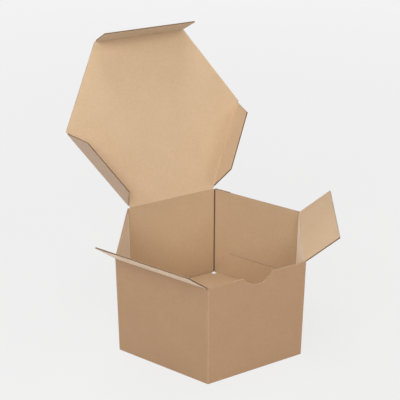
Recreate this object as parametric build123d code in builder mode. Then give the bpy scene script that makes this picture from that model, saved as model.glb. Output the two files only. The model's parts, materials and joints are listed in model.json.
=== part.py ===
from build123d import *
from math import cos, radians, sin, sqrt
import os

# A hexagonal folding box of thin corrugated board, standing open. Millimetres, +Z up.
# The origin is the middle of the underside. The wall with the thumb notch faces -Y, and the
# lid hinges on the wall opposite. The box body is one folded sheet. The lid and each flap that
# moves are leaves of the same sheet, made apart so that they can turn on their folds.
# Every fold angle is 0 where the leaf lies flat with the panel that it hangs on, and grows as
# the leaf folds to the inside.

os.makedirs("parts", exist_ok=True)

# The board and its folds
board = 1.2
fold_gap = 0.25
end_gap = 0.3
overrun = 5.0

# The six walls, seen from above, by the direction that each one faces
wall_width = 90.0
wall_height = 91.0
wall_fold_radius = 1.6
back_angle = 90
right_back_angle = 30
right_front_angle = -30
front_angle = -90
left_front_angle = -150
left_back_angle = 150

# The seam where the sheet's two ends meet, and the glue flap outside it
seam_gap = 0.8
seam_groove_width = 0.7
glue_flap_width = 16.0
glue_flap_root_inset = 1.5
glue_flap_end_inset = 6.0

# The thumb notch in the front wall
notch_radius = 14.5
notch_rise = 6.2
notch_shoulder = 5.0

# The bottom panel and the tabs glued up inside the walls
bottom_fold_radius = 1.0
relief_hole_radius = 2.6
relief_hole_inset = 2.6
tab_height = 24.8
tab_root_inset = 2.4
tab_top_inset = 17.0

# The lid and the flaps on three of its edges
lid_fold_angle = -25.0
layer_gap = 0.2
lid_side_clearance = 0.5
lid_bare_edge_inset = 2.2
tuck_clearance = 1.2
tuck_fold_angle = 87.5
tuck_depth = 28.5
tuck_root_inset = 3.9
tuck_notch_depth = 3.0
tuck_end_inset = 0.3
lid_flap_depth = 29.9
lid_flap_hinge_inset = 2.5
lid_flap_far_inset = 2.0
lid_flap_tip_hinge_inset = 17.4
lid_flap_tip_far_inset = 16.1
right_lid_flap_fold_angle = 92.0
left_lid_flap_fold_angle = 89.5

# The dust flaps on the left and right walls
dust_fold_angle = -49.6
dust_depth = 34.7
dust_root_inset = 1.0
dust_tip_inset = 1.15

# Sizes that follow from those above
apothem = wall_width * sqrt(3) / 2
mid_apothem = apothem - board / 2
inner_apothem = apothem - board
mid_width = mid_apothem * 2 / sqrt(3)
inner_width = inner_apothem * 2 / sqrt(3)
seam_groove_depth = board / 2
step_back = board + fold_gap
lid_fold_height = wall_height + layer_gap + board / 2
dust_fold_height = wall_height - board / 2


def facing(angle):
    """The flat direction at this angle, as a vector."""
    return Vector(cos(radians(angle)), sin(radians(angle)))


def meet(first_angle, first_distance, second_angle, second_distance):
    """Where two lines cross, each given by the direction it faces and its distance from the middle."""
    first = facing(first_angle)
    second = facing(second_angle)
    turn = first.X * second.Y - first.Y * second.X
    x = (first_distance * second.Y - second_distance * first.Y) / turn
    y = (second_distance * first.X - first_distance * second.X) / turn
    return Vector(x, y)


def wall_plane(angle, distance, height=0):
    """A plane in a wall: x runs along the wall, y up it, and z to the inside of the box."""
    outward = facing(angle)
    origin = outward * distance + Vector(0, 0, height)
    return Plane(origin=origin, x_dir=(outward.Y, -outward.X, 0), z_dir=-outward)


def fold_plane(panel, start, end, fold):
    """A leaf's own plane, midway along its fold: y runs out from the fold, and z to the inside."""
    first = panel.from_local_coords(start)
    last = panel.from_local_coords(end)
    along = (last - first).normalized()
    inside = panel.z_dir.rotate(Axis((0, 0, 0), along), fold)
    return Plane(origin=(first + last) / 2, x_dir=along, z_dir=inside)


def recess(start, end, start_inset, end_inset):
    """The corners of an edge that steps back from its fold, between two short ears."""
    along = (end - start).normalized()
    step = Vector(-along.Y, along.X) * step_back
    first = start + along * start_inset
    last = end - along * end_inset
    return [first, first + step, last + step, last]


def add_leaf(plane, outline):
    """Board cut to an outline, half its thickness to each side of the plane."""
    with BuildSketch(plane.offset(-board / 2)) as shape:
        Polygon(*outline)
    extrude(shape.sketch, amount=board)


def add_round_edge(plane, start, end):
    """A full-round edge of the board, from one point of the plane to another."""
    first = plane.from_local_coords(start)
    along = plane.from_local_coords(end) - first
    with BuildSketch(Plane(origin=first, x_dir=plane.z_dir, z_dir=along)) as section:
        Circle(board / 2)
    extrude(section.sketch, amount=along.length)


# The bottom panel: a hexagon that fits between the walls, with a relief hole at each corner
# and rounded folds under the edges that carry a tab.
with BuildPart() as bottom_panel:
    with BuildSketch():
        RegularPolygon(inner_width, 6)
        with PolarLocations(inner_width - relief_hole_inset, 6):
            Circle(relief_hole_radius, mode=Mode.SUBTRACT)
    extrude(amount=board)
    lower_edges = bottom_panel.edges().group_by(Axis.Z)[0].filter_by(GeomType.LINE)
    back_edge = lower_edges.sort_by(Axis.Y)[-1:]
    fillet(lower_edges - back_edge, bottom_fold_radius)

# The box body: six walls round the bottom panel, closed by the glue flap at the right end of
# the back wall. The sheet's other end stops short of that corner and leaves a narrow slot.
seam_corner = meet(back_angle, inner_apothem, right_back_angle, inner_apothem)
flap_corner = meet(back_angle, apothem, right_back_angle, apothem + board)
along_seam_wall = wall_plane(right_back_angle, apothem).x_dir
out_of_seam_wall = facing(right_back_angle)

with BuildPart() as box_body:
    with BuildSketch():
        RegularPolygon(wall_width, 6)
        plain_corners = vertices().sort_by_distance(flap_corner)[1:]
        fillet(plain_corners, wall_fold_radius)
        offset(amount=-board, mode=Mode.SUBTRACT)
        Polygon(
            (0, apothem),
            (0, inner_apothem),
            meet(back_angle, inner_apothem, right_back_angle, apothem),
            flap_corner + along_seam_wall * glue_flap_width - out_of_seam_wall * board,
            flap_corner + along_seam_wall * glue_flap_width,
            flap_corner,
        )
        fillet(vertices().sort_by_distance(flap_corner)[0], wall_fold_radius)
    extrude(amount=wall_height)

    # The glue flap's ends slope away from the fold.
    flap_root = flap_corner - out_of_seam_wall * board
    flap_plane = Plane(origin=flap_root, x_dir=along_seam_wall, z_dir=out_of_seam_wall)
    for edge_height, way in ((wall_height, 1), (0, -1)):
        with BuildSketch(flap_plane):
            Polygon(
                (-overrun, way * (edge_height - way * glue_flap_root_inset)),
                (0, way * (edge_height - way * glue_flap_root_inset)),
                (glue_flap_width, way * (edge_height - way * glue_flap_end_inset)),
                (glue_flap_width + overrun, way * (edge_height - way * glue_flap_end_inset)),
                (glue_flap_width + overrun, way * (edge_height + way * overrun)),
                (-overrun, way * (edge_height + way * overrun)),
            )
        extrude(amount=board + overrun, mode=Mode.SUBTRACT)

    # Three walls end in a rounded edge below the leaf that hinges on them.
    for angle, fold_height in (
        (back_angle, lid_fold_height),
        (right_front_angle, dust_fold_height),
        (left_front_angle, dust_fold_height),
    ):
        rim = wall_plane(angle, mid_apothem, fold_height - step_back)
        with BuildSketch(Plane.XY.offset(fold_height - step_back)):
            Polygon((0, 0), facing(angle - 30) * wall_width * 2, facing(angle + 30) * wall_width * 2)
        extrude(amount=step_back + overrun, mode=Mode.SUBTRACT)
        add_round_edge(rim, Vector(-inner_width / 2, 0), Vector(inner_width / 2, 0))

    # The slot at the seam goes right through the wall, and half through the fold beside it.
    slot_end = seam_corner + along_seam_wall * seam_gap
    groove_depth = inner_apothem + seam_groove_depth
    with BuildSketch():
        Polygon(
            seam_corner + Vector(-seam_groove_width, 0),
            seam_corner + Vector(-seam_groove_width, seam_groove_depth),
            meet(back_angle, groove_depth, right_back_angle, apothem),
            slot_end + out_of_seam_wall * board,
            slot_end,
            seam_corner - seam_corner.normalized() * overrun,
        )
    extrude(amount=wall_height + overrun, mode=Mode.SUBTRACT)

    # The thumb notch, with rounded shoulders.
    with BuildSketch(wall_plane(front_angle, inner_apothem - overrun, wall_height)):
        with Locations((0, notch_rise)):
            Circle(notch_radius)
        Rectangle(notch_radius * 4, overrun * 2, align=(Align.CENTER, Align.MIN))
        level = vertices().filter_by_position(Axis.Z, wall_height, wall_height)
        fillet(level.sort_by_distance((0, -apothem, wall_height))[:2], notch_shoulder)
    extrude(amount=-(board + overrun * 2), mode=Mode.SUBTRACT)

    # The bottom panel folds in from the back wall, whose lower edge is the fold.
    add(bottom_panel.part)
    with BuildSketch(Plane.YZ.offset(-inner_width / 2)):
        with Locations((apothem, 0)):
            Rectangle(wall_fold_radius, wall_fold_radius, align=(Align.MAX, Align.MIN))
        with Locations((apothem - wall_fold_radius, wall_fold_radius)):
            Circle(wall_fold_radius, mode=Mode.SUBTRACT)
    extrude(amount=inner_width, mode=Mode.SUBTRACT)

    # A tab of the bottom panel stands inside each other wall.
    for angle in (right_back_angle, right_front_angle, front_angle, left_front_angle, left_back_angle):
        with BuildSketch(wall_plane(angle, inner_apothem, board)):
            Polygon(
                (-inner_width / 2 + tab_root_inset, 0),
                (inner_width / 2 - tab_root_inset, 0),
                (inner_width / 2 - tab_top_inset, tab_height),
                (-inner_width / 2 + tab_top_inset, tab_height),
            )
        extrude(amount=board)

# The lid, drawn in its own plane from the corners that it has when it is shut
back_fold_plane = wall_plane(back_angle, mid_apothem, lid_fold_height)
lid_plane = fold_plane(back_fold_plane, Vector(-mid_width / 2, 0), Vector(mid_width / 2, 0), lid_fold_angle)
lid_side_distance = inner_apothem - lid_side_clearance - board / 2
lid_bare_distance = apothem - lid_bare_edge_inset
tuck_distance = inner_apothem - tuck_clearance - board / 2


def on_lid(corner):
    """A corner of the shut lid, seen from above, in the lid's own plane."""
    return Vector(corner.X, mid_apothem - corner.Y)


def mirrored(point):
    """The same point on the other side of the middle."""
    return Vector(-point.X, point.Y)


hinge_right = on_lid(meet(back_angle, mid_apothem, right_back_angle, lid_side_distance))
side_right = on_lid(meet(right_back_angle, lid_side_distance, right_front_angle, lid_bare_distance))
tuck_right = on_lid(meet(right_front_angle, lid_bare_distance, front_angle, tuck_distance))
hinge_left = mirrored(hinge_right)
side_left = mirrored(side_right)
tuck_left = mirrored(tuck_right)

right_edge = recess(
    hinge_right, side_right, lid_flap_hinge_inset - end_gap, lid_flap_far_inset - end_gap
)
front_edge = recess(tuck_right, tuck_left, tuck_root_inset - end_gap, tuck_root_inset - end_gap)
left_edge = [mirrored(point) for point in reversed(right_edge)]

with BuildPart() as lid_panel:
    add_leaf(
        lid_plane,
        [
            hinge_right,
            *right_edge,
            side_right,
            tuck_right,
            *front_edge,
            tuck_left,
            side_left,
            *left_edge,
            hinge_left,
        ],
    )
    add_round_edge(lid_plane, hinge_left, hinge_right)
    for edge in (right_edge, front_edge, left_edge):
        add_round_edge(lid_plane, edge[1], edge[2])

# The tuck flap goes down inside the front wall. Its root is notched for the dust flaps.
tuck_plane = fold_plane(lid_plane, tuck_left, tuck_right, tuck_fold_angle)
tuck_root = tuck_right.X - tuck_root_inset
tuck_end = tuck_right.X - tuck_end_inset

with BuildPart() as lid_tuck_flap:
    add_leaf(
        tuck_plane,
        [
            (-tuck_root, 0),
            (tuck_root, 0),
            (tuck_root, tuck_notch_depth),
            (tuck_end, tuck_notch_depth),
            (tuck_end, tuck_depth),
            (-tuck_end, tuck_depth),
            (-tuck_end, tuck_notch_depth),
            (-tuck_root, tuck_notch_depth),
        ],
    )
    add_round_edge(tuck_plane, Vector(-tuck_root, 0), Vector(tuck_root, 0))

# The lid's side flaps go down inside the two rear side walls. The left one mirrors the right.
lid_flap_half = (side_right - hinge_right).length / 2
right_lid_flap_outline = [
    Vector(lid_flap_half - lid_flap_hinge_inset, 0),
    Vector(lid_flap_half - lid_flap_tip_hinge_inset, lid_flap_depth),
    Vector(-lid_flap_half + lid_flap_tip_far_inset, lid_flap_depth),
    Vector(-lid_flap_half + lid_flap_far_inset, 0),
]
left_lid_flap_outline = [mirrored(point) for point in reversed(right_lid_flap_outline)]
right_lid_flap_plane = fold_plane(lid_plane, side_right, hinge_right, right_lid_flap_fold_angle)
left_lid_flap_plane = fold_plane(lid_plane, hinge_left, side_left, left_lid_flap_fold_angle)

with BuildPart() as lid_right_flap:
    add_leaf(right_lid_flap_plane, right_lid_flap_outline)
    add_round_edge(right_lid_flap_plane, right_lid_flap_outline[3], right_lid_flap_outline[0])

with BuildPart() as lid_left_flap:
    add_leaf(left_lid_flap_plane, left_lid_flap_outline)
    add_round_edge(left_lid_flap_plane, left_lid_flap_outline[3], left_lid_flap_outline[0])

# A dust flap on the left wall and one on the right wall, both leaning outwards
dust_root = mid_width / 2 - dust_root_inset
dust_tip = mid_width / 2 - dust_tip_inset
dust_outline = [
    Vector(-dust_root, 0),
    Vector(dust_root, 0),
    Vector(dust_tip, dust_depth),
    Vector(-dust_tip, dust_depth),
]
right_fold_plane = wall_plane(right_front_angle, mid_apothem, dust_fold_height)
left_fold_plane = wall_plane(left_front_angle, mid_apothem, dust_fold_height)
right_dust_plane = fold_plane(right_fold_plane, dust_outline[0], dust_outline[1], dust_fold_angle)
left_dust_plane = fold_plane(left_fold_plane, dust_outline[0], dust_outline[1], dust_fold_angle)

with BuildPart() as right_dust_flap:
    add_leaf(right_dust_plane, dust_outline)
    add_round_edge(right_dust_plane, dust_outline[0], dust_outline[1])

with BuildPart() as left_dust_flap:
    add_leaf(left_dust_plane, dust_outline)
    add_round_edge(left_dust_plane, dust_outline[0], dust_outline[1])

pieces = {
    "box_body": box_body,
    "lid_panel": lid_panel,
    "lid_tuck_flap": lid_tuck_flap,
    "lid_right_flap": lid_right_flap,
    "lid_left_flap": lid_left_flap,
    "right_dust_flap": right_dust_flap,
    "left_dust_flap": left_dust_flap,
}
for name, piece in pieces.items():
    piece.part.label = name
    export_step(piece.part, f"parts/{name}.step")
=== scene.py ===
# %% [markdown]
# # A hexagonal box of brown corrugated board
# The box stands open: its lid leans back, and a dust flap leans out on each side of the front.
# The board itself comes from the CAD frame, at its real size. What Blender adds is what makes
# it look like board: the paper that runs on round each crease, the flutes painted along the cut
# edges with painted shade in their hollows, and the colour and tooth of kraft paper.

import json
import math

import bpy
from mathutils import Matrix, Vector

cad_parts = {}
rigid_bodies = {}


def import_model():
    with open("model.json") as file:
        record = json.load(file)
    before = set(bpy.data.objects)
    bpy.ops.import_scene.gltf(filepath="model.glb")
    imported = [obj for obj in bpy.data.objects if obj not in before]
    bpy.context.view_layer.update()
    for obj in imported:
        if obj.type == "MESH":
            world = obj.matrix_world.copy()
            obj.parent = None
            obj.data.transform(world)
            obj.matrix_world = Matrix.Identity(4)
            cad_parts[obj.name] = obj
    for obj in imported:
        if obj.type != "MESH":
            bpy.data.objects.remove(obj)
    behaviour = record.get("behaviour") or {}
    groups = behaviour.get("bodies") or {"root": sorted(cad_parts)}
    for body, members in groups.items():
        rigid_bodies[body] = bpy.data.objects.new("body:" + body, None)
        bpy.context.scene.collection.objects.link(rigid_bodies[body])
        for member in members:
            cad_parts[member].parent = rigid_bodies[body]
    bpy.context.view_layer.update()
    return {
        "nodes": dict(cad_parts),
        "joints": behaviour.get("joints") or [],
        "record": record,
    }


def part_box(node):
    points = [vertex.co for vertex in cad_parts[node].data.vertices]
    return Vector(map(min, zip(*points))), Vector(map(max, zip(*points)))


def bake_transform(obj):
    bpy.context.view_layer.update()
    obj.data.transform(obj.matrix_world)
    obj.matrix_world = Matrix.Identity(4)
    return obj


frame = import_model()
mm = 0.001
print("Nodes:", sorted(frame["nodes"]))

# %% [markdown]
# Corrugated board is two flat sheets of paper, the liners, with a waved sheet between them.
# The board here is 1.2 mm thick, with a wave every 3.2 mm. Every leaf of the box is this
# board, so its sizes are set once. The CAD leaves a narrow gap between the rounded edges at
# each hinge, and the same thickness gives the radius of those edges.

# %% The board's sizes
board = 1.2 * mm
liner = 0.16 * mm
wave_paper = 0.15 * mm
wave_length = 3.2 * mm
fold_gap = 0.25 * mm
step_back = board + fold_gap
wall_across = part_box("box_body")[1].y
inside_wall = wall_across - board
inside_tab = inside_wall - board
print("The walls stand", round(wall_across / mm, 2), "mm from the middle")

# %% [markdown]
# Each leaf turns on a crease, and the frame says where that crease is. From it and the leaf's
# own mesh come three directions: along the crease, across the leaf away from the crease, and
# through the board. Patterns and new pieces are then laid out in the leaf's own directions, so
# nothing has to be measured twice.


# %% A class for a leaf's own directions
class Leaf:
    """A panel of board that hangs on a crease."""

    def __init__(self, node, joint):
        mesh = frame["nodes"][node].data
        corners = [vertex.co for vertex in mesh.vertices]
        low = Vector(min(corner[i] for corner in corners) for i in range(3))
        high = Vector(max(corner[i] for corner in corners) for i in range(3))
        self.node = node
        self.body = joint["child"]
        self.parent = joint["parent"]
        self.crease = Vector(joint["pos_m"])
        self.along = Vector(joint["axis"]).normalized()
        biggest = max(mesh.polygons, key=lambda polygon: polygon.area)
        self.through = biggest.normal.normalized()
        self.across = self.through.cross(self.along).normalized()
        if self.across.dot((low + high) / 2 - self.crease) < 0:
            self.across = -self.across
        if self.across.cross(self.through).dot(self.along) > 0:
            self.through = -self.through
        reaches = [abs((corner - self.crease).dot(self.along)) for corner in corners]
        depths = [(corner - self.crease).dot(self.across) for corner in corners]
        self.root = max(r for r, d in zip(reaches, depths) if d < board / 2)
        self.depth = max(depths)


# %% Find the leaves
leaves = {}
for joint in frame["joints"]:
    nodes = frame["record"]["behaviour"]["bodies"][joint["child"]]
    leaves[joint["child"]] = Leaf(nodes[0], joint)
for leaf in leaves.values():
    print(leaf.node, "root", round(leaf.root / mm, 1), "depth", round(leaf.depth / mm, 1))

# %% [markdown]
# Shader maths is easier to read as sums than as boxes and wires. This small class holds one
# output of a node, and its operators add the nodes that a sum needs.


# %% A class for shader maths
class Wire:
    """One output of a shader node. Sums and comparisons of wires add Math nodes."""

    def __init__(self, tree, socket):
        self.tree = tree
        self.socket = socket

    def node(self, kind, settings, values, output=0):
        """Adds a node. Its settings are set first, then its sockets' values or links."""
        made = self.tree.nodes.new(kind)
        for name, value in settings.items():
            setattr(made, name, value)
        for place, value in values.items():
            if isinstance(value, Wire):
                self.tree.links.new(value.socket, made.inputs[place])
            else:
                made.inputs[place].default_value = value
        return Wire(self.tree, made.outputs[output])

    def maths(self, operation, *values):
        return self.node("ShaderNodeMath", {"operation": operation}, dict(enumerate(values)))

    def vector_maths(self, operation, values, output="Vector"):
        return self.node("ShaderNodeVectorMath", {"operation": operation}, values, output)

    def __add__(self, other):
        return self.maths("ADD", self, other)

    def __radd__(self, other):
        return self.maths("ADD", other, self)

    def __sub__(self, other):
        return self.maths("SUBTRACT", self, other)

    def __rsub__(self, other):
        return self.maths("SUBTRACT", other, self)

    def __mul__(self, other):
        return self.maths("MULTIPLY", self, other)

    def __rmul__(self, other):
        return self.maths("MULTIPLY", other, self)

    def __truediv__(self, other):
        return self.maths("DIVIDE", self, other)

    def __lt__(self, other):
        return self.maths("LESS_THAN", self, other)

    def __gt__(self, other):
        return self.maths("GREATER_THAN", self, other)

    def __abs__(self):
        return self.maths("ABSOLUTE", self)

    def sine(self):
        return self.maths("SINE", self)

    def sign(self):
        return self.maths("SIGN", self)

    def least(self, other):
        return self.maths("MINIMUM", self, other)

    def most(self, other):
        return self.maths("MAXIMUM", self, other)

    def dot(self, direction):
        """How far a vector reaches in a direction."""
        return self.vector_maths("DOT_PRODUCT", {0: self, 1: tuple(direction)}, "Value")

    def scaled(self, factor):
        """A vector made longer or shorter."""
        return self.vector_maths("SCALE", {0: self, "Scale": factor})

    def vector(self, x, y, z):
        return self.node("ShaderNodeCombineXYZ", {}, {0: x, 1: y, 2: z})

    def blend(self, first, second):
        """A colour between two, by this wire."""
        settings = {"data_type": "RGBA", "blend_type": "MIX"}
        return self.node("ShaderNodeMix", settings, {0: self, 6: first, 7: second}, 2)

    def choose(self, first, second):
        """One of two numbers: the first where this wire is 0, the second where it is 1."""
        return first + (second - first) * self


# %% Start a material
def start(material):
    """Gives a material its nodes, and returns its surface, position and normal wires."""
    material.use_nodes = True
    tree = material.node_tree
    place = tree.nodes.new("ShaderNodeTexCoord")
    surface = tree.nodes["Principled BSDF"]
    return surface, Wire(tree, place.outputs["Object"]), Wire(tree, place.outputs["Normal"])


# %% [markdown]
# Kraft liner is unbleached paper. From a hand's width it is an even warm brown, and close up
# it shows cloudy patches, short fibres lying mostly one way, and a few dark flecks of bark. The
# waved sheet behind it also presses through as very faint ribs. All of these are noise patterns
# laid out in the leaf's own directions, in millimetres, so they keep their real size.
#
# The two liners differ. The one inside the box is pale and rough, and the one outside is darker
# and was pressed smoother. Both carry a fine fuzz of fibres, so a face seen nearly edge on
# turns pale. That is the sheen.

# %% The colours of kraft paper
inside_dark = (0.529, 0.372, 0.224, 1)
inside_light = (0.662, 0.486, 0.322, 1)
outside_dark = (0.382, 0.224, 0.117, 1)
outside_light = (0.478, 0.293, 0.167, 1)
fleck_colour = (0.150, 0.085, 0.045, 1)
inside_roughness = 0.7
outside_roughness = 0.45
roughness_swing = 0.06
sheen = 0.7
sheen_tint = (1, 0.88, 0.74, 1)
sheen_roughness = 0.3


def add_fuzz(surface):
    """Gives a surface the sheen of its loose fibres."""
    surface.inputs["Sheen Weight"].default_value = sheen
    surface.inputs["Sheen Tint"].default_value = sheen_tint
    surface.inputs["Sheen Roughness"].default_value = sheen_roughness


# %% [markdown]
# Noise gives the clouds, and a finer noise the mottle. Stretched noise gives the fibres: where
# it passes through its middle value a thin line appears, and the stretch makes that line run
# one way. Most fibres lie along the crease's direction and some cross them.

# %% The patterns in kraft paper
middle = 0.5
noise_roughness = 0.6
fibre_sharpness = 14
cloud_strength = 0.5
mottle_strength = 0.7
lying_strength = 0.16
crossing_strength = 0.14
fleck_scale = 0.5
fleck_reach = 0.05
fleck_threshold = 0.56
fleck_strength = 0.7
mottle_relief = 0.8
lying_relief = 0.5
crossing_relief = 0.4


def noise(place, scale, detail, stretch=(1, 1, 1)):
    """Soft random patches, about 1 / scale millimetres in size, with values round 0.5."""
    stretched = place.vector_maths("MULTIPLY", {0: place, 1: stretch})
    values = {
        "Vector": stretched,
        "Scale": scale,
        "Detail": detail,
        "Roughness": noise_roughness,
    }
    return place.node("ShaderNodeTexNoise", {}, values, "Fac")


def turned(place, degrees):
    """The pattern's place, turned in the plane of the board."""
    values = {"Vector": place, "Rotation": (0, 0, math.radians(degrees))}
    return place.node("ShaderNodeMapping", {}, values)


def fibres(place, degrees, scale, length):
    """Thin streaks that lie at an angle to the crease: 1 on a fibre and 0 between them."""
    streaks = noise(turned(place, degrees), scale, detail=2, stretch=(1 / length, 1, 1))
    ridge = 1 - abs(streaks - middle) * fibre_sharpness
    return ridge.most(0)


def kraft(place, outside):
    """Colour and height of the paper at a place given in millimetres. Outside is 1 or 0."""
    clouds = noise(place, scale=0.035, detail=2) - middle
    mottle = noise(place, scale=0.45, detail=4) - middle
    lying = fibres(place, degrees=4, scale=1.9, length=9)
    rising = fibres(place, degrees=63, scale=2.3, length=7)
    falling = fibres(place, degrees=-52, scale=2.1, length=8)
    crossing = rising.most(falling)
    tone = middle + clouds * cloud_strength + mottle * mottle_strength
    tone = tone + lying * lying_strength - crossing * crossing_strength
    paper = outside.blend(
        tone.blend(inside_dark, inside_light), tone.blend(outside_dark, outside_light)
    )
    cells = place.node("ShaderNodeTexVoronoi", {}, {"Vector": place, "Scale": fleck_scale})
    fleck = (cells < fleck_reach) * (noise(place, scale=0.21, detail=1) > fleck_threshold)
    colour = (fleck * fleck_strength).blend(paper, fleck_colour)
    height = mottle * mottle_relief + lying * lying_relief + crossing * crossing_relief
    return colour, height


# %% [markdown]
# A cut edge shows the board's section: the two liners, and the wave between them with hollows
# on both sides, which are painted dark as painted shade. The flutes run one way through the whole
# sheet, so the section is worked out from how far a point lies through the board and how far along
# the wave. On the cut edges that face up or down, and on the glue flap's edges, the paper and the
# hollows are painted paler, with less painted shade. The faces deep in the seam get hardly any
# light, so they are painted one dark colour, a painted shade.

# %% The look of a cut edge
cut_paper = (0.440, 0.290, 0.175, 1)
# Painted shade: the dark colour of the hollows between the papers of a cut edge.
hollow_shade_colour = (0.085, 0.050, 0.028, 1)
# Paler paper and a lighter painted shade in the hollows, for edges facing up or down and the glue
# flap's.
paler_cut_paper = (0.480, 0.320, 0.195, 1)
paler_hollow_shade = (0.340, 0.215, 0.122, 1)
# Painted shade: one dark colour for the faces deep in the seam.
seam_shade_colour = (0.055, 0.027, 0.012, 1)
cut_roughness = 0.85
wave_height = board / 2 - liner - wave_paper / 2
wave_line_share = 0.62
print("The wave swings", round(wave_height / mm, 3), "mm to each side")


def swing(wave):
    """The wave's height, from -1 to 1, at a distance in millimetres."""
    return (wave * (2 * math.pi / (wave_length / mm))).sine()


def section(through, wave):
    """1 on the cut paper of a liner or of the wave, and 0 in a hollow. In millimetres."""
    on_wave = abs(through - swing(wave) * (wave_height / mm)) < wave_paper / mm * wave_line_share
    on_liner = abs(through) > (board / 2 - liner) / mm
    return on_wave.most(on_liner)


# %% Join the paper and the cut edges
rib_relief = 0.35
cut_relief = 3
bump_strength = 0.5
bump_distance = 0.04 * mm


def board_surface(surface, place, wave, through, outside, cut, paler_edge, buried):
    """Joins the paper and the cut edges into one board. All but the surface are wires."""
    colour, height = kraft(place, outside)
    paper_here = section(through, wave)
    # The hollows of the section get the painted shade.
    sharp = paper_here.blend(hollow_shade_colour, cut_paper)
    # On edges that face up or down, and the glue flap's, the paper and the painted shade are
    # paler.
    edge = paler_edge.blend(sharp, paper_here.blend(paler_hollow_shade, paler_cut_paper))
    # The faces deep in the seam get one dark painted shade.
    edge = buried.blend(edge, seam_shade_colour)
    relief = cut.choose(height + swing(wave) * rib_relief, paper_here * cut_relief)
    values = {"Strength": bump_strength, "Distance": bump_distance, "Height": relief}
    bump = place.node("ShaderNodeBump", {}, values, "Normal")
    smooth = outside.choose(inside_roughness, outside_roughness) + height * roughness_swing
    add_fuzz(surface)
    links = place.tree.links
    links.new(cut.blend(colour, edge).socket, surface.inputs["Base Color"])
    links.new(cut.choose(smooth, cut_roughness).socket, surface.inputs["Roughness"])
    links.new(bump.socket, surface.inputs["Normal"])


def finish_node(node, material):
    """Puts one material on a CAD node, whose faces are flat or gently rounded."""
    mesh = frame["nodes"][node].data
    mesh.materials.clear()
    mesh.materials.append(material)
    print("Finished", node)


# %% [markdown]
# A leaf is flat, so it has one set of directions. A face is a cut edge where it turns edge on to
# the board, but the rounded edge at the hinge isn't cut. The lid's side flaps hang on creases
# that lie at an angle to the lid's flutes, so their wave lies at that angle too.

# %% Finish the leaves
edge_on = 0.3
hinge_edge = 0.7
lid_flap_wave = {"lid_flap_right": -1, "lid_flap_left": 1}


def leaf_material(leaf, wave_direction):
    """Board laid out in one leaf's directions. The wave direction is across the flutes."""
    material = bpy.data.materials.new("kraft board, " + leaf.node.replace("_", " "))
    surface, place, normal = start(material)

    def reach(direction):
        return (place.dot(direction) - leaf.crease.dot(direction)) / mm

    through = reach(leaf.through)
    across = reach(leaf.across)
    laid_out = place.vector(reach(leaf.along), across, through)
    wave = reach(wave_direction)
    outside = through > 0
    cut = (abs(normal.dot(leaf.through)) < edge_on) * (across > hinge_edge)
    nowhere = cut * 0
    board_surface(surface, laid_out, wave, through, outside, cut, nowhere, nowhere)
    return material


for body, leaf in leaves.items():
    wave_direction = leaf.along
    if body in lid_flap_wave:
        slant = leaves["lid"].along.dot(leaf.along)
        rest = math.sqrt(1 - slant * slant) * lid_flap_wave[body]
        wave_direction = leaf.along * slant + leaf.across * rest
    finish_node(leaf.node, leaf_material(leaf, wave_direction))

# %% [markdown]
# The box body has seven sets of directions: its six walls and its bottom. A point belongs to the
# wall that it is furthest out towards, which three dot products find, because opposite walls
# face opposite ways. The faces that turn neither out nor in are cut edges. Where the face turns
# from one wall to the other at a fold, the outside is painted a little paler: a painted highlight.

# %% Find a point's wall
vertical = Vector((0, 0, 1))
wall_angles = (90, 30, -30)
wall_directions = [
    Vector((math.cos(math.radians(angle)), math.sin(math.radians(angle)), 0))
    for angle in wall_angles
]
tie = 0.0001


def nearest_wall(millimetres, normal):
    """How far out a point is, how far along its wall, and how far its face turns outwards."""
    distances = [abs(millimetres.dot(facing)) for facing in wall_directions]
    out = distances[0].most(distances[1]).most(distances[2])
    along = 0
    turned_out = 0
    for distance, facing in zip(distances, wall_directions):
        here = distance > out - tie
        side = millimetres.dot(facing).sign()
        along = along + millimetres.dot(facing.cross(vertical)) * here
        turned_out = turned_out + normal.dot(facing) * side * here
    return out, along, turned_out


# %% Finish the box body
bottom_margin = 0.05
wall_margin = 0.02
underside = 0.01
deep_share = -0.25
turned_in = -0.5
level = 0.5
fold_highlight_sharpness = 7
fold_highlight_share = 0.4


def body_material():
    """Board laid out on six walls and the bottom. Sizes are in millimetres."""
    material = bpy.data.materials.new("kraft board, box body")
    surface, place, normal = start(material)
    millimetres = place.scaled(1 / mm)
    out, along, turned_out = nearest_wall(millimetres, normal)
    height = millimetres.dot(vertical)
    on_panel = out < inside_tab / mm - bottom_margin
    bottom = (on_panel + (height < underside) * (out < inside_wall / mm)).least(1)
    glue_flap = out > wall_across / mm + wall_margin
    tab = out < inside_wall / mm - wall_margin
    layer = (wall_across - board / 2) / mm + glue_flap * (board / mm) - tab * (board / mm)
    through = bottom.choose(out - layer, height - board / mm / 2)
    wave = bottom.choose(along, millimetres.dot((1, 0, 0)))
    upward = bottom.choose(height, millimetres.dot((0, 1, 0)))
    # In the seam, the mid-board face of the groove and the glue flap's inner face are in shadow,
    # and get a painted shade.
    buried = (through > board / mm * deep_share) * (turned_out < turned_in) * (1 - bottom)
    cut = (abs(turned_out) < edge_on).most(buried) * (1 - bottom)
    # Cut edges that face up or down, and the glue flap's, get paler paper and less painted shade.
    paler_edges = (abs(normal.dot(vertical)) > level).most(glue_flap)
    upright = abs(normal.dot(vertical)) < edge_on
    # A painted highlight: the outside paper is painted paler on the rounded folds between walls.
    fold_highlight = ((1 - turned_out) * fold_highlight_sharpness).least(1) * upright
    outside = bottom.choose((through > 0) * (1 - fold_highlight * fold_highlight_share), through < 0)
    laid_out = place.vector(wave, upward, through)
    board_surface(surface, laid_out, wave, through, outside, cut, paler_edges, buried)
    return material


finish_node("box_body", body_material())

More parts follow.
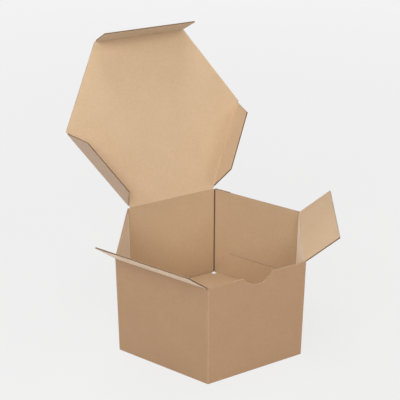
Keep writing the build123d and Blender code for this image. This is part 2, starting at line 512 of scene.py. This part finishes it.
# %% [markdown]
# A crease is pressed into the board, and the liner runs on round it. The solids stop at a
# narrow gap there, so a strip of liner bridges it on each side. On the outside of a fold the
# strip goes round a curve, which the spin operator makes. On the inside it meets itself in a
# pinched corner, which a bevel softens. A strip is first modelled flat at the origin, along X,
# then it gets its thickness, and last it is moved to its crease.

# %% Helpers for the crease strips
strip_paper = 0.03 * mm
strip_lift = 0.004 * mm
strip_overlap = 0.9 * mm
strip_end_inset = 0.6 * mm
strip_radius = board / 2 + strip_lift


def place_piece(piece, origin, x, y, z):
    """Moves a piece made at the origin to its place, and leaves its object at the origin."""
    matrix = Matrix((x, y, z)).transposed().to_4x4()
    matrix.translation = origin
    piece.matrix_world = matrix
    bpy.ops.object.select_all(action="DESELECT")
    piece.select_set(True)
    bpy.context.view_layer.objects.active = piece
    bpy.ops.object.transform_apply(location=True, rotation=True, scale=True)


def select_edges(piece, test):
    """In edit mode, selects the edges whose ends both pass a test."""
    bpy.ops.object.mode_set(mode="OBJECT")
    for polygon in piece.data.polygons:
        polygon.select = False
    for vertex in piece.data.vertices:
        vertex.select = test(vertex.co)
    for edge in piece.data.edges:
        edge.select = all(test(piece.data.vertices[i].co) for i in edge.vertices)
    bpy.ops.object.mode_set(mode="EDIT")


def thicken(piece, outward):
    """Turns a sheet into paper, growing it towards a direction."""
    towards = sum((polygon.normal.dot(outward) for polygon in piece.data.polygons), 0.0)
    solidify = piece.modifiers.new("paper", "SOLIDIFY")
    solidify.thickness = strip_paper
    solidify.offset = 1 if towards > 0 else -1
    bpy.ops.object.modifier_apply(modifier="paper")


# %% Model one strip
curve_steps = 8
pinch_softening = 0.4 * mm
pinch_share = 0.45
pinch_segments = 6
merge_distance = 0.001 * mm


def crease_strip(name, length, fold):
    """A strip over one side of a crease. The leaf is folded towards +Z by fold radians."""
    pinched = fold > 0
    meeting = -strip_radius * math.tan(fold / 2) if pinched else 0
    behind = -(step_back + strip_overlap)
    middle_place = (0, (behind + meeting) / 2, strip_radius)
    bpy.ops.object.select_all(action="DESELECT")
    bpy.ops.mesh.primitive_plane_add(size=1, location=middle_place)
    piece = bpy.context.object
    piece.name = name
    bpy.ops.object.mode_set(mode="EDIT")
    bpy.ops.mesh.select_all(action="SELECT")
    bpy.ops.transform.resize(value=(length, meeting - behind, 1))
    bpy.ops.object.mode_set(mode="OBJECT")
    bpy.ops.object.transform_apply(location=True, rotation=True, scale=True)
    bpy.ops.object.mode_set(mode="EDIT")
    bpy.ops.mesh.select_mode(type="EDGE")
    select_edges(piece, lambda co: co.y > meeting - strip_lift)
    if not pinched:
        bpy.ops.mesh.spin(steps=curve_steps, angle=fold, center=(0, 0, 0), axis=(1, 0, 0))
    reach = strip_overlap + abs(meeting)
    run = Vector((0, math.cos(fold), math.sin(fold))) * reach
    bpy.ops.mesh.extrude_region_move(TRANSFORM_OT_translate={"value": run})
    if pinched:
        corner = Vector((0, meeting, strip_radius))
        select_edges(piece, lambda co: (co.yz - corner.yz).length < strip_lift)
        softening = min(pinch_softening, reach * pinch_share)
        bpy.ops.mesh.bevel(offset=softening, segments=pinch_segments, affect="EDGES")
    bpy.ops.mesh.select_all(action="SELECT")
    bpy.ops.mesh.remove_doubles(threshold=merge_distance)
    bpy.ops.object.mode_set(mode="OBJECT")
    return piece


# %% The strips' paper
def paper_material(name, outside):
    """Plain kraft liner for the crease strips."""
    material = bpy.data.materials.new(name)
    surface, place, _ = start(material)
    colour, height = kraft(place.scaled(1 / mm), place.dot((0, 0, 0)) + outside)
    smooth = outside_roughness if outside else inside_roughness
    add_fuzz(surface)
    links = place.tree.links
    links.new(colour.socket, surface.inputs["Base Color"])
    links.new((smooth + height * roughness_swing).socket, surface.inputs["Roughness"])
    return material


inside_liner = paper_material("inside liner at a crease", 0)
outside_liner = paper_material("outside liner at a crease", 1)

# %% Bridge every crease
smooth_angle = 35
bend_reach = 0.35 * mm


def bridge_crease(leaf, into_parent):
    """Adds the strips over both sides of a leaf's crease."""
    onward = -into_parent
    for side in (1, -1):
        x = leaf.along * side
        z = x.cross(onward)
        fold = math.atan2(leaf.across.dot(z), leaf.across.dot(onward))
        length = (leaf.root - strip_end_inset) * 2
        piece = crease_strip(f"crease_{leaf.body}_{'a' if side > 0 else 'b'}", length, fold)
        thicken(piece, vertical)
        place_piece(piece, leaf.crease, x, onward, z)
        if fold > 0:
            middle_point = leaf.crease + (z - onward * math.tan(fold / 2)) * strip_radius
            way = (onward + leaf.across).normalized() * bend_reach
            start_at = middle_point - way
            end_at = middle_point + way
        else:
            leaf_normal = z * math.cos(fold) - onward * math.sin(fold)
            start_at = leaf.crease + z * strip_radius
            end_at = leaf.crease + leaf_normal * strip_radius
        piece.data.materials.append(inside_liner if side > 0 else outside_liner)
        bpy.ops.object.shade_smooth_by_angle(angle=math.radians(smooth_angle))
        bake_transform(piece)
        print(piece.name, "folds by", round(math.degrees(fold), 1), "degrees")


lid = leaves["lid"]
lid_low, lid_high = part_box(lid.node)
lid_middle = (lid_low + lid_high) / 2
for leaf in leaves.values():
    into_parent = -vertical
    if leaf.parent == "lid":
        into_parent = lid.through.cross(leaf.along)
        if into_parent.dot(lid_middle - leaf.crease) < 0:
            into_parent = -into_parent
    bridge_crease(leaf, into_parent)

# %% [markdown]
# The photograph was taken in a white studio, so the floor and the background are one pale
# grey with no horizon. The floor is white paper. To the camera most of its light is an even
# glow, which keeps the background level, and the rest is real light, which keeps a soft shadow
# near the box. Further off the real light fades out, so the floor's far edge doesn't show.

# %% Floor
background = (0.895, 0.895, 0.895, 1)
floor_colour = (0.64, 0.64, 0.64, 1)
floor_radius = 4
shadow_share = 0.12
shadow_start = 0.3
shadow_end = 1.2


def sees_background(wire):
    """1 for the rays that show the background: the camera's, and those of a gloss or a glass."""
    kinds = ("Is Camera Ray", "Is Glossy Ray", "Is Transmission Ray")
    camera_ray, glossy_ray, clear_ray = [
        wire.node("ShaderNodeLightPath", {}, {}, kind) for kind in kinds
    ]
    return camera_ray.most(glossy_ray).most(clear_ray)


bpy.ops.mesh.primitive_circle_add(vertices=96, radius=floor_radius, fill_type="NGON")
floor = bpy.context.object
floor.name = "floor"
floor_material = bpy.data.materials.new("pale floor")
floor_surface, floor_place, _ = start(floor_material)
floor_surface.inputs["Base Color"].default_value = floor_colour
floor_surface.inputs["Roughness"].default_value = 1
floor_surface.inputs["Specular IOR Level"].default_value = 0
far_off = floor_place.vector_maths("LENGTH", {0: floor_place}, "Value")
nearby = ((shadow_end - far_off) / (shadow_end - shadow_start)).least(1).most(0)
glow_share = sees_background(floor_place) * (1 - nearby * shadow_share)
real_light = Wire(floor_place.tree, floor_surface.outputs[0])
glow = floor_place.node("ShaderNodeEmission", {}, {"Color": background, "Strength": 1})
mixed = floor_place.node("ShaderNodeMixShader", {}, {0: glow_share, 1: real_light, 2: glow})
floor_output = floor_place.tree.nodes["Material Output"]
floor_place.tree.links.new(mixed.socket, floor_output.inputs["Surface"])
floor.data.materials.append(floor_material)
print("The floor is", floor_radius * 2, "m wide")

# %% Background
room_light = 0.05

world = bpy.data.worlds.new("studio")
world.use_nodes = True
bpy.context.scene.world = world
world_tree = world.node_tree
room_node = world_tree.nodes["Background"]
room_node.inputs["Color"].default_value = (1, 1, 1, 1)
room_node.inputs["Strength"].default_value = room_light
room = Wire(world_tree, room_node.outputs[0])
seen = room.node("ShaderNodeBackground", {}, {"Color": background, "Strength": 1})
both = room.node("ShaderNodeMixShader", {}, {0: sees_background(room), 1: room, 2: seen})
world_tree.links.new(both.socket, world_tree.nodes["World Output"].inputs["Surface"])

# %% [markdown]
# Six soft boxes light the board: one above and a little to the rear, three on the left, one on
# the right and one behind. Big lamps give the soft gradients inside the box. The strongest
# stands near the camera, and as high as the tuck flap points, so the flap casts hardly any
# shadow on the lid. The one on the right is a little warmer, so the walls that face it look
# redder than the others.

# %% Lamps
lamp_distance = 1.8
lamp_size = 0.9
lamp_target = Vector((0, 0, 0.1))


def way_to(azimuth, elevation):
    """The direction to a place, in radians. Azimuth 0 is in front, and 90 degrees to the right."""
    level_part = Vector((math.sin(azimuth), -math.cos(azimuth), 0)) * math.cos(elevation)
    return level_part + vertical * math.sin(elevation)


def soft_box(name, azimuth, elevation, watts, colour=(1, 1, 1)):
    """A square lamp that points at the box, placed by two angles in degrees."""
    way = way_to(math.radians(azimuth), math.radians(elevation))
    bpy.ops.object.light_add(type="AREA", location=lamp_target + way * lamp_distance)
    lamp = bpy.context.object
    lamp.name = name
    lamp.data.shape = "SQUARE"
    lamp.data.size = lamp_size
    lamp.data.energy = watts
    lamp.data.color = colour
    lamp.rotation_mode = "QUATERNION"
    lamp.rotation_quaternion = way.to_track_quat("Z", "Y")
    print(name, watts, "W")


soft_box("top light", 180, 81, 12.5)
soft_box("camera light", -27, 31, 16.1)
soft_box("left high light", -65, 42, 8.6)
soft_box("left light", -80, 20, 1.5)
soft_box("front right light", 35, 35, 9.4, (1, 0.93, 0.82))
soft_box("rear left light", -142, 30, 7.2)

# %% [markdown]
# The camera stands where the photograph was taken from: to the front left and a little above,
# with a long lens that keeps the upright edges nearly parallel.

# %% Camera
azimuth = math.radians(-27.606)
elevation = math.radians(26.157)
distance = 0.81076
to_the_right = -0.010267
upwards = 0.110473
lens = 80.68
nearest = 0.01

back = way_to(azimuth, elevation)
right = Vector((math.cos(azimuth), math.sin(azimuth), 0))
up = back.cross(right)
bpy.ops.object.camera_add(location=back * distance + right * to_the_right + up * upwards)
camera = bpy.context.object
camera.name = "photograph's camera"
camera.rotation_mode = "QUATERNION"
camera.rotation_quaternion = Matrix((right, up, back)).transposed().to_quaternion()
camera.data.lens = lens
camera.data.clip_start = nearest
bpy.context.scene.camera = camera
bpy.context.scene.view_settings.view_transform = "Standard"
print("The camera stands", round(camera.location.length, 3), "m away")
